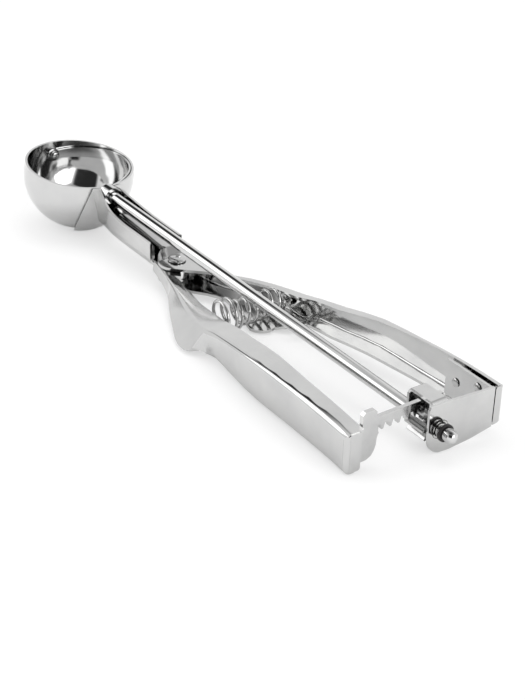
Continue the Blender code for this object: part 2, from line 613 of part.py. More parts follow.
def build_pivot():
    top = EAR_TOP_Z + SEAT_GAP
    under = FLOOR_Z - SEAT_GAP
    washer_low = under - PIVOT_WASHER_HEIGHT
    foot = washer_low - SEAT_GAP
    head = PIVOT_HEAD_RADIUS
    where = {"around": 24, "centre": (PIVOT_X, 0.0), "axis": "Z"}
    rivet = [(foot - PIVOT_HEAD_HEIGHT, 0), (foot - PIVOT_HEAD_HEIGHT, head * 0.7), (foot - 0.0003, head),
             (foot, head), (foot, PIVOT_PIN_RADIUS), (top, PIVOT_PIN_RADIUS), (top, head),
             (top + 0.0003, head), (top + PIVOT_HEAD_HEIGHT, head * 0.72),
             (top + PIVOT_HEAD_HEIGHT, head * 0.42), (top + PIVOT_HEAD_HEIGHT - 0.0004, head * 0.3),
             (top + PIVOT_HEAD_HEIGHT - 0.0004, 0)]
    add_piece("pivot_rivet", turned(rivet, **where), scoop, STEEL)
    hole = PIVOT_PIN_RADIUS + RUNNING_GAP
    spacer_top = EAR_TOP_Z - 2 * HANDLE_SHEET - 2 * SEAT_GAP
    spacer_low = FLOOR_Z + HANDLE_SHEET + SEAT_GAP
    add_piece("pivot_spacer", tube(spacer_low, spacer_top, hole, PIVOT_WASHER_RADIUS, **where), scoop, STEEL)
    add_piece("pivot_washer", tube(washer_low, under, hole, PIVOT_WASHER_RADIUS, **where), scoop, STEEL)


def build_drive_shaft():
    lug_front = blade_outer - LUG_SAG - BLADE_SHEET
    head_rear = lug_front - SEAT_GAP
    shoulder = blade_outer - LUG_SAG + SEAT_GAP
    groove = SHAFT_RADIUS - RING_GROOVE_DEPTH
    tip = SHAFT_RADIUS * 0.45
    profile = [(head_rear - SPIGOT_HEAD_LENGTH, 0), (head_rear - SPIGOT_HEAD_LENGTH, SPIGOT_HEAD_RADIUS * 0.7),
               (head_rear - SPIGOT_HEAD_LENGTH * 0.5, SPIGOT_HEAD_RADIUS), (head_rear, SPIGOT_HEAD_RADIUS),
               (head_rear, SPIGOT_RADIUS), (shoulder, SPIGOT_RADIUS), (shoulder, STEP_RADIUS),
               (BOWL_RADIUS + SEAT_GAP, STEP_RADIUS), (BOWL_RADIUS + SEAT_GAP, SHAFT_RADIUS),
               (ring_front - SEAT_GAP, SHAFT_RADIUS), (ring_front - SEAT_GAP, groove),
               (ring_front + RING_LENGTH + SEAT_GAP, groove), (ring_front + RING_LENGTH + SEAT_GAP, SHAFT_RADIUS),
               (SHAFT_REAR_X - 0.0016, SHAFT_RADIUS), (SHAFT_REAR_X - 0.0005, SHAFT_RADIUS * 0.8),
               (SHAFT_REAR_X, tip), (SHAFT_REAR_X, 0)]
    add_piece("drive_shaft", turned(profile, around=24), drive, STEEL)
    ring = tube(ring_front, ring_front + RING_LENGTH, groove + SEAT_GAP, RING_RADIUS, around=24)
    add_piece("retaining_ring", ring, drive, DARK_STEEL)
    washer = tube(washer_front, washer_front + WASHER_LENGTH, shaft_hole, WASHER_RADIUS, around=28)
    add_piece("thrust_washer", washer, drive, STEEL)


def build_sweep_blade():
    """A strip of two concentric spheres, with a flat round lug at each pivot."""
    bm = bmesh.new()
    steps = 28
    rings = []
    for i in range(steps + 1):
        around = math.radians(5 + 170 * i / steps)
        swell = min(1.0, math.sin(around) * 1.6)
        width = BLADE_NECK + (BLADE_WIDTH - BLADE_NECK) * swell
        ring = []
        for radius, shares in ((blade_outer, (-0.5, -0.17, 0.17, 0.5)),
                               (blade_outer - BLADE_SHEET, (0.5, 0.17, -0.17, -0.5))):
            for share in shares:
                toward = Vector((-math.cos(around), math.sin(around), width * share / blade_outer))
                ring.append(bm.verts.new(toward.normalized() * radius))
        rings.append(ring)
    count = len(rings[0])
    for ring, following in zip(rings, rings[1:]):
        for k in range(count):
            n = (k + 1) % count
            bm.faces.new((ring[k], ring[n], following[n], following[k]))
    bm.faces.new(rings[0])
    bm.faces.new(rings[-1])
    blade = add_piece("sweep_blade", bm, drive, STEEL)
    rear = blade_outer - LUG_SAG
    for side, hole, label in ((-1, BLADE_PIN_RADIUS + RUNNING_GAP, "front"), (1, SPIGOT_RADIUS + SEAT_GAP, "rear")):
        ends = sorted((side * rear, side * (rear - BLADE_SHEET)))
        combine(blade, tube(ends[0], ends[1], 0, LUG_RADIUS, around=24), "UNION", label + "_lug")
        combine(blade, tube(side * rear - 0.002, side * rear + 0.002, 0, hole, around=16), "DIFFERENCE",
                label + "_hole")


def build_blade_pivot():
    lug_inner = blade_outer - LUG_SAG - BLADE_SHEET
    washer_rear = lug_inner - SEAT_GAP
    head_rear = washer_rear - BLADE_WASHER_LENGTH - SEAT_GAP
    outside = BOWL_RADIUS + SEAT_GAP
    pin, head = BLADE_PIN_RADIUS, BLADE_PIN_HEAD_RADIUS
    profile = [(-outside - BLADE_PIN_HEAD, 0), (-outside - BLADE_PIN_HEAD, head * 0.7), (-outside - 0.0002, head),
               (-outside, head), (-outside, pin), (-head_rear, pin), (-head_rear, head * 0.75),
               (-head_rear + BLADE_PIN_HEAD * 0.6, head * 0.75), (-head_rear + BLADE_PIN_HEAD, head * 0.45),
               (-head_rear + BLADE_PIN_HEAD, 0)]
    add_piece("blade_pivot_rivet", turned(profile, around=20), scoop, STEEL)
    washer = tube(-washer_rear, -washer_rear + BLADE_WASHER_LENGTH, pin + SEAT_GAP, head, around=20)
    add_piece("blade_pivot_washer", washer, scoop, STEEL)


def pinion_outline():
    """Ten straight-flanked teeth, thinner than half the pitch so that they run free."""
    root = pitch_radius - DEDENDUM
    tip = pitch_radius + ADDENDUM
    half_pitch_turn = math.pi / PINION_TEETH
    points = []
    for tooth in range(PINION_TEETH):
        middle = math.pi / 2 + half_pitch_turn * (2 * tooth + 1)
        half_root = half_pitch_turn * TOOTH_SHARE * 1.30
        half_pitch = half_pitch_turn * TOOTH_SHARE
        half_tip = half_pitch_turn * TOOTH_SHARE * 0.50
        for radius, turn in ((root, -half_root), (pitch_radius, -half_pitch), (tip, -half_tip), (tip, half_tip),
                             (pitch_radius, half_pitch), (root, half_root)):
            angle = middle + turn
            points.append((radius * math.cos(angle), radius * math.sin(angle)))
    return points


def build_pinion():
    rear = PINION_FRONT_X + PINION_LENGTH
    bm = prism(pinion_outline(), PINION_FRONT_X, rear, plane="YZ")
    pinion = add_piece("pinion", bm, drive, STEEL, smooth_angle=20.0)
    bore = SHAFT_RADIUS + SEAT_GAP
    combine(pinion, tube(PINION_FRONT_X - 0.001, rear + 0.001, 0, bore, around=24), "DIFFERENCE", "bore")


def rack_outline():
    """The rack plate seen along the shaft: foot, tab, and an arm with teeth on its underside."""
    tip = pitch_radius - ADDENDUM
    root = pitch_radius + DEDENDUM
    half_tip = tooth_pitch * TOOTH_SHARE * 0.28
    half_root = tooth_pitch * TOOTH_SHARE * 0.74
    arm_end = RACK_LAST_TOOTH * tooth_pitch + half_root + 0.0004
    first = RACK_FIRST_TOOTH * tooth_pitch
    plate_left = -0.0300
    under_flange = 0.0060
    outline = [(plate_left, under_flange), (plate_left, RACK_FOOT_Z), (-0.0232, RACK_FOOT_Z + 0.0002),
               (-0.0215, RACK_FOOT_Z + 0.0010), (-0.0205, RACK_FOOT_Z + 0.0024), (-0.0199, RACK_FOOT_Z + 0.0042),
               (-0.0197, 0.0018), (-0.0191, 0.0032), (first - half_root - 0.0006, 0.0038),
               (first - half_root - 0.0006, root)]
    for tooth in range(RACK_FIRST_TOOTH, RACK_LAST_TOOTH + 1):
        y = tooth * tooth_pitch
        outline += [(y - half_root, root), (y - half_tip, tip), (y + half_tip, tip), (y + half_root, root)]
    outline += [(arm_end, root), (arm_end, RACK_ARM_TOP_Z), (RACK_TAB_RIGHT_Y + 0.0005, RACK_ARM_TOP_Z),
                (RACK_TAB_RIGHT_Y, RACK_ARM_TOP_Z + 0.0006), (RACK_TAB_RIGHT_Y, RACK_TAB_TOP_Z - 0.0009),
                (RACK_TAB_RIGHT_Y - 0.0009, RACK_TAB_TOP_Z), (RACK_TAB_LEFT_Y + 0.0009, RACK_TAB_TOP_Z),
                (RACK_TAB_LEFT_Y, RACK_TAB_TOP_Z - 0.0009), (RACK_TAB_LEFT_Y, under_flange)]
    return outline


def build_rack_plate():
    half = RACK_SHEET / 2
    bm = prism(rack_outline(), RACK_MID_X - half, RACK_MID_X + half, plane="YZ")
    add_piece("rack_plate", bm, lever, STEEL, smooth_angle=20.0)


def fold_strip(low_y, high_y):
    """The bracket's bent strip: front wall, roof and rear wall, as one folded sheet."""
    roof = bracket_roof_top
    outer = rounded([(bracket_front_x, BRACKET_CHIN_Z * 1.5), (bracket_front_x, roof), (bracket_rear_x, roof),
                     (bracket_rear_x, BRACKET_CHIN_Z * 1.5)], (BRACKET_FOLD, BRACKET_FOLD), steps=5)
    sheet = BRACKET_SHEET
    inner = rounded([(bracket_front_x + sheet, BRACKET_CHIN_Z * 1.5), (bracket_front_x + sheet, roof - sheet),
                     (bracket_rear_x - sheet, roof - sheet), (bracket_rear_x - sheet, BRACKET_CHIN_Z * 1.5)],
                    (BRACKET_FOLD - sheet, BRACKET_FOLD - sheet), steps=5)
    bm = bmesh.new()
    loop = [bm.verts.new((x, low_y, z)) for x, z in outer + inner[::-1]]
    face = bm.faces.new(loop)
    raised = bmesh.ops.extrude_face_region(bm, geom=[face])
    tops = [v for v in raised["geom"] if isinstance(v, bmesh.types.BMVert)]
    bmesh.ops.translate(bm, verts=tops, vec=(0, high_y - low_y, 0))
    return bm


def build_pinion_bracket():
    half = BRACKET_HALF_WIDTH
    wing = BRACKET_WING_Y
    bracket = add_piece("pinion_bracket", fold_strip(-half, wing), scoop, STEEL)
    middle = (bracket_front_x + bracket_rear_x) / 2
    roof = bracket_roof_top + 0.002
    chin = BRACKET_CHIN_Z
    corner = [(BRACKET_ROOF_LEFT_Y, roof), (BRACKET_ROOF_LEFT_Y, bracket_roof_top - BRACKET_SHEET * 0.8)]
    rear_keep = corner + [(-half + 0.0006, bracket_roof_top - 0.0012), (-half + 0.0001, bracket_roof_top - 0.0024)]
    rear_keep += arc((1.3 * half - 0.0045, -0.0024), 0.0058, 180, 255, 6)
    rear_keep += [(BRACKET_CHIN_Y, chin), (wing * 0.6, chin + 0.0006), (wing, chin + 0.0020), (wing, 0.0072),
                  (BRACKET_ROOF_RIGHT_Y, bracket_roof_top - BRACKET_FOLD + 0.0004), (BRACKET_ROOF_RIGHT_Y, roof)]
    wall = FRONT_WALL_RADIUS
    front_keep = corner + [(-wall + 0.0001, bracket_roof_top - 0.0020), (-wall, 0.0)]
    front_keep += arc((0.0, 0.0), wall, 190, 350, 10)
    front_keep += [(wall, 0.0), (wall, bracket_roof_top - BRACKET_FOLD - 0.0004),
                   (BRACKET_ROOF_RIGHT_Y, bracket_roof_top - BRACKET_FOLD + 0.0004), (BRACKET_ROOF_RIGHT_Y, roof)]
    combine(bracket, trimmed_away(rear_keep, middle, bracket_rear_x + 0.002), "DIFFERENCE", "rear_outline")
    combine(bracket, trimmed_away(front_keep, bracket_front_x - 0.002, middle), "DIFFERENCE", "front_outline")
    wing_low = (BRACKET_WING_FRONT_X, wing - BRACKET_SHEET, BRACKET_WING_LOW_Z)
    wing_high = (bracket_rear_x - BRACKET_SHEET / 2, wing, BRACKET_WING_TOP_Z)
    combine(bracket, block(wing_low, wing_high), "UNION", "wing")
    for x, bore in ((bracket_front_x, "front_hole"), (bracket_rear_x, "rear_hole")):
        hole = tube(x - 0.002, x + 0.002, 0, bush_outer + SEAT_GAP, around=24)
        combine(bracket, hole, "DIFFERENCE", bore)
    for place, label in zip(weld_places(), ("front_weld", "rear_weld")):
        hole = tube(wing - 0.002, wing + 0.001, 0, WELD_RADIUS + SEAT_GAP, around=14, centre=place, axis="Y")
        combine(bracket, hole, "DIFFERENCE", label)


def trimmed_away(keep, low, high):
    """The slab round a kept outline that is open at the top."""
    wide, deep = 0.04, -0.03
    top = keep[0][1]
    slab = [(keep[0][0], top), (-wide, top), (-wide, deep), (wide, deep), (wide, top), keep[-1]]
    return prism(slab + list(reversed(keep[1:-1])), low, high, plane="YZ")


def weld_places():
    return [(BRACKET_WING_FRONT_X + 0.0047, 0.0010), (BRACKET_WING_FRONT_X + 0.0140, 0.0042)]


def build_bracket_studs():
    """Two short studs that hold the bracket's wing off the handle's web."""
    for name, place in zip(("front_bracket_stud", "rear_bracket_stud"), weld_places()):
        reach = fixed_section(place[0])[0][1][0] - HANDLE_SHEET - SEAT_GAP
        head = BRACKET_WING_Y - BRACKET_SHEET - SEAT_GAP
        flange = BRACKET_WING_Y + SEAT_GAP
        wide = WELD_RADIUS * 1.6
        profile = [(head - 0.0004, 0), (head - 0.0004, WELD_RADIUS), (head, wide), (head, WELD_RADIUS),
                   (flange, WELD_RADIUS), (flange, wide), (reach, wide), (reach, 0)]
        add_piece(name, turned(profile, around=14, centre=place, axis="Y"), scoop, STEEL)


def build_bushes():
    length = BRACKET_SHEET + BUSH_FLANGE
    for name, x, outwards in (("front_bush", bracket_front_x, -1), ("rear_bush", bracket_rear_x, 1)):
        flange = [x + outwards * SEAT_GAP, x + outwards * (SEAT_GAP + BUSH_FLANGE)]
        inner_end = flange[1] - outwards * (length + SEAT_GAP)
        profile = [(inner_end, shaft_hole), (inner_end, bush_outer), (flange[0], bush_outer),
                   (flange[0], bush_outer + BUSH_RIM), (flange[1], bush_outer + BUSH_RIM), (flange[1], shaft_hole)]
        add_piece(name, turned(profile, around=24), scoop, STEEL)


def web_inside(section, x, z, way):
    """How far out the inner face of a handle's web lies, at a place along it and a height."""
    path = section(x)[0]
    share = (path[1][1] - z) / (path[1][1] - path[2][1])
    run = Vector(path[2]) - Vector(path[1])
    wall = HANDLE_SHEET * run.length / abs(run.y)
    return way * (path[1][0] + run.x * share) - wall


def spring_ends():
    """Where the spring's seats may start: the nearest place of each web behind them."""
    corners = [(dx, dz) for dx in (-SEAT_CUP_RADIUS, SEAT_CUP_RADIUS) for dz in (-SEAT_CUP_RADIUS, SEAT_CUP_RADIUS)]
    far = min(web_inside(fixed_section, SPRING_X + dx, SPRING_Z + dz, 1) for dx, dz in corners)
    turn = LEVER_OPEN_ANGLE
    near = 1.0
    for dx, dz in corners:
        along = (SPRING_X + dx - PIVOT_X) / math.cos(turn)
        web = web_inside(lever_section, PIVOT_X + along, SPRING_Z + dz, -1)
        near = min(near, web * math.cos(turn) + along * math.sin(turn))
    return -near, far


def spring_shape(y):
    """Radius of the coil and height of its middle: a barrel, slim where it goes under a flange."""
    wire = SPRING_WIRE / 2
    over_floor = SPRING_Z - FLOOR_Z - HANDLE_SHEET - 2 * SEAT_GAP
    rows = [
        (-0.0200, 0.0021 - wire, SPRING_Z - 0.0011),
        (-0.0155, 0.0022 - wire, SPRING_Z - 0.0009),
        (-0.0125, 0.0031 - wire, SPRING_Z - 0.0004),
        (-0.0100, 0.0047 - wire, SPRING_Z),
        (-0.0070, 0.0052 - wire, SPRING_Z),
        (-0.0040, 0.0050 - wire, SPRING_Z),
        (-0.0010, over_floor - wire, SPRING_Z),
        (0.0110, over_floor - wire, SPRING_Z),
        (0.0140, 0.0021 - wire, SPRING_Z - 0.0002),
        (0.0190, 0.0019 - wire, SPRING_Z - 0.0002),
    ]
    return smooth_row(rows, y)


def spring_point(t):
    """The wire's centre line: a helix about Y between the two seats."""
    turn = math.tau * SPRING_TURNS * t
    y = spring_near_y + (spring_far_y - spring_near_y) * t
    radius, height = spring_shape(y)
    return Vector((SPRING_X + radius * math.sin(turn), y, height - radius * math.cos(turn)))


def build_spring():
    curve = bpy.data.curves.new("return_spring", "CURVE")
    curve.dimensions = "3D"
    curve.bevel_depth = SPRING_WIRE / 2
    curve.bevel_resolution = 1
    curve.use_fill_caps = True
    line = curve.splines.new("POLY")
    count = SPRING_TURNS * SPRING_POINTS_PER_TURN + 1
    line.points.add(count - 1)
    path = [spring_point(i / (count - 1)) for i in range(count)]
    for point, place in zip(line.points, path):
        point.co = (*place, 1.0)
    piece = bpy.data.objects.new("return_spring", curve)
    piece.parent = scoop
    bpy.context.collection.objects.link(piece)
    curve.materials.append(STEEL)
    apart = SPRING_POINTS_PER_TURN // 2
    least = min((a - b).length for i, a in enumerate(path) for b in path[i + apart:])
    print("return_spring least gap to itself, mm:", round((least - SPRING_WIRE) * 1000, 2))


def build_spring_seats():
    """A cup pressed against each web, with a boss that holds the spring's last turn."""
    near_web, far_web = spring_ends()
    for name, parent, web, way in (("fixed_spring_seat", scoop, far_web, 1), ("lever_spring_seat", lever, near_web, -1)):
        back = web - way * SEAT_GAP
        face = back - way * SEAT_CUP_HEIGHT
        boss = face - way * SEAT_BOSS_HEIGHT
        radius, height = spring_shape(face)
        inside = radius - SPRING_WIRE / 2 - SEAT_GAP
        profile = [(boss, 0), (boss, inside * 0.7), (face, inside), (face, SEAT_CUP_RADIUS),
                   (back, SEAT_CUP_RADIUS), (back, 0)]
        add_piece(name, turned(profile, around=20, centre=(SPRING_X, height), axis="Y"), parent, STEEL)


def resting_plane():
    """The upward normal of the table: it touches the bowl, the bracket's chin and the lever's heel."""
    chin = Vector((bracket_rear_x, BRACKET_CHIN_Y, BRACKET_CHIN_Z))
    side, low = lever_section(lever_rear_x)[0][2]
    reach = lever_rear_x - PIVOT_X - END_RADIUS
    inward = side + END_RADIUS
    heel = Vector((PIVOT_X + reach * math.cos(LEVER_OPEN_ANGLE) + inward * math.sin(LEVER_OPEN_ANGLE),
                   inward * math.cos(LEVER_OPEN_ANGLE) - reach * math.sin(LEVER_OPEN_ANGLE), low))
    along = (heel - chin).normalized()
    down = chin - along * chin.dot(along)
    share = -BOWL_RADIUS / down.length
    across = along.cross(down.normalized())
    level = down.normalized() * share
    tilt = across * math.sqrt(1 - share * share)
    return max((level + tilt, level - tilt), key=lambda normal: normal.z)


def lay_down():
    """Turns the scoop so that it rests on a level table, with the shaft still pointing along X."""
    up = resting_plane()
    ahead = (Vector((1, 0, 0)) - up * up.x).normalized()
    side = up.cross(ahead)
    scoop.rotation_euler = Matrix((ahead, side, up)).to_euler()


def stand_on_origin():
    """Moves the scoop so that the middle of its footprint is the origin."""
    bpy.context.view_layer.update()
    graph = bpy.context.evaluated_depsgraph_get()
    low, high = Vector((1e3, 1e3, 1e3)), Vector((-1e3, -1e3, -1e3))
    for piece in bpy.data.objects:
        if piece.type == "EMPTY" or piece.hide_render:
            continue
        shape = piece.evaluated_get(graph)
        mesh = shape.to_mesh()
        for vertex in mesh.vertices:
            place = shape.matrix_world @ vertex.co
            low = Vector(map(min, low, place))
            high = Vector(map(max, high, place))
        shape.to_mesh_clear()
    scoop.location = (-(low.x + high.x) / 2, -(low.y + high.y) / 2, -low.z)
    bpy.context.view_layer.update()


# More values that need the ones above
WELD_RADIUS = 0.0009
LUG_SAG = blade_outer - math.sqrt(blade_outer**2 - LUG_RADIUS**2)
bracket_front_x = PINION_FRONT_X - 2 * SEAT_GAP - BRACKET_SHEET
bracket_rear_x = PINION_FRONT_X + PINION_LENGTH + 2 * SEAT_GAP + BRACKET_SHEET
bracket_roof_top = RACK_ARM_TOP_Z + 0.0004 + BRACKET_SHEET
bush_outer = shaft_hole + BUSH_WALL
washer_front = bracket_rear_x + SEAT_GAP + BUSH_FLANGE + SEAT_GAP
ring_front = washer_front + WASHER_LENGTH + SEAT_GAP
near_web_y, far_web_y = spring_ends()
spring_near_y = near_web_y + SEAT_GAP + SEAT_CUP_HEIGHT + SPRING_WIRE / 2 + SEAT_GAP
spring_far_y = far_web_y - SEAT_GAP - SEAT_CUP_HEIGHT - SPRING_WIRE / 2 - SEAT_GAP

clear_scene()
STEEL = steel("polished_steel", 0.80, 0.12)
DARK_STEEL = steel("dark_steel", 0.10, 0.35)
scoop = empty("scoop", (0, 0, 0))
lever = empty("lever", (PIVOT_X, 0, 0), scoop)
drive = empty("drive", (0, 0, 0), scoop)

build_bowl()
build_shank()
build_fixed_handle()
build_lever_handle()
build_pivot()
build_drive_shaft()
build_sweep_blade()
build_blade_pivot()
build_pinion()
build_rack_plate()
build_pinion_bracket()
build_bracket_studs()
build_bushes()
build_spring()
build_spring_seats()
lay_down()
stand_on_origin()
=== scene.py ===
import json
import math

import bmesh
import bpy
import numpy as np
from mathutils import Matrix, Vector


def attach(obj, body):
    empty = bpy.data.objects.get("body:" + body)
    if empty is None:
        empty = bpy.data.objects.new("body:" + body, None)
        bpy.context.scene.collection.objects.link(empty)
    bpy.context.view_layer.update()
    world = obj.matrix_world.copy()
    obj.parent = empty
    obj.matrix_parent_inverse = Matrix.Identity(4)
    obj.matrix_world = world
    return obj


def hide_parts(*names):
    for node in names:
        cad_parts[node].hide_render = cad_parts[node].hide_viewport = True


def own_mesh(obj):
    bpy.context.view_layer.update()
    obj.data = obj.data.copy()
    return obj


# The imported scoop
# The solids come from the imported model, at rest and in metres. The two joints give the lines
# that the scoop is laid out by: its shaft, and the pivot of its lever.
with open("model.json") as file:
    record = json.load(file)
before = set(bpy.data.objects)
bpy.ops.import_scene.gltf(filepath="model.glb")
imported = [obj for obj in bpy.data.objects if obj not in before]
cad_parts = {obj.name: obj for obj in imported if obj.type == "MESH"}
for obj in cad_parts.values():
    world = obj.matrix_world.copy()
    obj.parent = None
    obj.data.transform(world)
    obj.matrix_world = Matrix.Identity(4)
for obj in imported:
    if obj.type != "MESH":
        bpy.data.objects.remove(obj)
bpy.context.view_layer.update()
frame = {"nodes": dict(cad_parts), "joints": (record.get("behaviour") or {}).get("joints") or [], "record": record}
body_of_node = {
    node: body
    for body, nodes in frame["record"]["behaviour"]["bodies"].items()
    for node in nodes
}
hinges = {joint["name"]: joint for joint in frame["joints"]}
shaft_point = Vector(hinges["blade_sweep"]["pos_m"])
shaft_line = Vector(hinges["blade_sweep"]["axis"])
pivot_point = Vector(hinges["lever_squeeze"]["pos_m"])
pivot_line = Vector(hinges["lever_squeeze"]["axis"])
across_line = pivot_line.cross(shaft_line)


def in_scoop(along, across, up):
    """A place given along the shaft, across it and up from it."""
    return shaft_point + shaft_line * along + across_line * across + pivot_line * up


# Bowl
# A thin bowl spun from stainless sheet over a former and polished bright inside and out. Fine
# rings from the spinning are left round its axis, and hands have left a faint haze on it.
BOWL_TONE = (0.64, 0.64, 0.635)
BOWL_LEAN = Vector((0.133, 0.004, 0.991))
MICRON = 0.000001


def new_effect(name, inputs, outputs):
    """An empty shader group with named sockets, for an effect that several finishes share."""
    group = bpy.data.node_groups.new(name, "ShaderNodeTree")
    for label, kind, value in inputs:
        socket = group.interface.new_socket(name=label, in_out="INPUT", socket_type=kind)
        socket.default_value = value
    for label, kind in outputs:
        group.interface.new_socket(name=label, in_out="OUTPUT", socket_type=kind)
    return group, group.nodes.new("NodeGroupInput"), group.nodes.new("NodeGroupOutput")


def vector_step(tree, operation, first, second=None):
    """One step of vector arithmetic on the sockets given."""
    step = tree.nodes.new("ShaderNodeVectorMath")
    step.operation = operation
    tree.links.new(first, step.inputs[0])
    if second is not None:
        tree.links.new(second, step.inputs[1])
    return step


def turned_rings():
    """Rings round a line, as spinning and turning leave them."""
    group, given, made = new_effect(
        "turned_rings",
        [("Centre", "NodeSocketVector", (0, 0, 0)), ("Line", "NodeSocketVector", (1, 0, 0)),
         ("Fineness", "NodeSocketFloat", 3000.0)],
        [("Height", "NodeSocketFloat"), ("Bands", "NodeSocketFloat")])
    place = group.nodes.new("ShaderNodeTexCoord")
    offset = vector_step(group, "SUBTRACT", place.outputs["Object"], given.outputs["Centre"])
    along = vector_step(group, "DOT_PRODUCT", offset.outputs["Vector"], given.outputs["Line"])
    foot = vector_step(group, "SCALE", given.outputs["Line"])
    group.links.new(along.outputs["Value"], foot.inputs["Scale"])
    out = vector_step(group, "SUBTRACT", offset.outputs["Vector"], foot.outputs["Vector"])
    radius = vector_step(group, "LENGTH", out.outputs["Vector"])
    ring = group.nodes.new("ShaderNodeCombineXYZ")
    group.links.new(radius.outputs["Value"], ring.inputs["X"])
    group.links.new(along.outputs["Value"], ring.inputs["Y"])
    fine = group.nodes.new("ShaderNodeTexNoise")
    fine.inputs["Detail"].default_value = 3.0
    group.links.new(ring.outputs[0], fine.inputs["Vector"])
    group.links.new(given.outputs["Fineness"], fine.inputs["Scale"])
    broad = group.nodes.new("ShaderNodeTexNoise")
    broad.inputs["Scale"].default_value = 420.0
    broad.inputs["Detail"].default_value = 1.0
    group.links.new(ring.outputs[0], broad.inputs["Vector"])
    group.links.new(fine.outputs[0], made.inputs["Height"])
    group.links.new(broad.outputs[0], made.inputs["Bands"])
    return group


def handling_haze():
    """Soft patches where fingers and wiping have dulled the polish a little."""
    group, given, made = new_effect(
        "handling_haze", [("Patches", "NodeSocketFloat", 90.0)], [("Haze", "NodeSocketFloat")])
    place = group.nodes.new("ShaderNodeTexCoord")
    cloud = group.nodes.new("ShaderNodeTexNoise")
    cloud.inputs["Detail"].default_value = 3.0
    cloud.inputs["Roughness"].default_value = 0.6
    group.links.new(place.outputs["Object"], cloud.inputs["Vector"])
    group.links.new(given.outputs["Patches"], cloud.inputs["Scale"])
    spread = group.nodes.new("ShaderNodeMapRange")
    spread.inputs["From Min"].default_value = 0.35
    spread.inputs["From Max"].default_value = 0.70
    group.links.new(cloud.outputs[0], spread.inputs["Value"])
    group.links.new(spread.outputs["Result"], made.inputs["Haze"])
    return group


def hairlines():
    """Sparse fine scratches that run nearly one way."""
    group, given, made = new_effect(
        "hairlines",
        [("Stretch", "NodeSocketVector", (12, 300, 300)), ("Fineness", "NodeSocketFloat", 8.0)],
        [("Height", "NodeSocketFloat"), ("Lines", "NodeSocketFloat")])
    place = group.nodes.new("ShaderNodeTexCoord")
    stretched = vector_step(group, "MULTIPLY", place.outputs["Object"], given.outputs["Stretch"])
    grain = group.nodes.new("ShaderNodeTexNoise")
    grain.inputs["Detail"].default_value = 4.0
    grain.inputs["Distortion"].default_value = 0.15
    group.links.new(stretched.outputs["Vector"], grain.inputs["Vector"])
    group.links.new(given.outputs["Fineness"], grain.inputs["Scale"])
    sparse = group.nodes.new("ShaderNodeMapRange")
    sparse.inputs["From Min"].default_value = 0.62
    sparse.inputs["From Max"].default_value = 0.74
    group.links.new(grain.outputs[0], sparse.inputs["Value"])
    group.links.new(grain.outputs[0], made.inputs["Height"])
    group.links.new(sparse.outputs["Result"], made.inputs["Lines"])
    return group


RINGS = turned_rings()
HAZE = handling_haze()
HAIRLINES = hairlines()
WEAR_OF_A_MARK = 0.35


def bare_metal(name, tone, shade, gloss, dull, marks, depth, metallic=1.0, patches=90.0):
    """A metal finish: tone goes to shade, and gloss to dull, where it is hazed or marked."""
    material = bpy.data.materials.new(name)
    material.use_nodes = True
    tree = material.node_tree
    shader = tree.nodes["Principled BSDF"]
    shader.inputs["Metallic"].default_value = metallic
    haze = tree.nodes.new("ShaderNodeGroup")
    haze.node_tree = HAZE
    haze.inputs["Patches"].default_value = patches
    grain = tree.nodes.new("ShaderNodeGroup")
    grain.node_tree = RINGS if "Centre" in marks else HAIRLINES
    for label, value in marks.items():
        grain.inputs[label].default_value = value
    worn = tree.nodes.new("ShaderNodeMath")
    worn.operation = "MULTIPLY_ADD"
    worn.inputs[1].default_value = WEAR_OF_A_MARK
    tree.links.new(grain.outputs[1], worn.inputs[0])
    tree.links.new(haze.outputs["Haze"], worn.inputs[2])
    colour = tree.nodes.new("ShaderNodeMix")
    colour.data_type = "RGBA"
    colour.inputs["A"].default_value = (*tone, 1.0)
    colour.inputs["B"].default_value = (*shade, 1.0)
    tree.links.new(worn.outputs[0], colour.inputs["Factor"])
    tree.links.new(colour.outputs["Result"], shader.inputs["Base Color"])
    rough = tree.nodes.new("ShaderNodeMapRange")
    rough.inputs["To Min"].default_value = gloss
    rough.inputs["To Max"].default_value = dull
    tree.links.new(worn.outputs[0], rough.inputs["Value"])
    tree.links.new(rough.outputs["Result"], shader.inputs["Roughness"])
    relief = tree.nodes.new("ShaderNodeBump")
    relief.inputs["Strength"].default_value = 1.0
    relief.inputs["Distance"].default_value = depth
    tree.links.new(grain.outputs["Height"], relief.inputs["Height"])
    tree.links.new(relief.outputs["Normal"], shader.inputs["Normal"])
    return material


CORNERS_AT_ONCE = 600
NEXT_TO_NOTHING = 1e-12


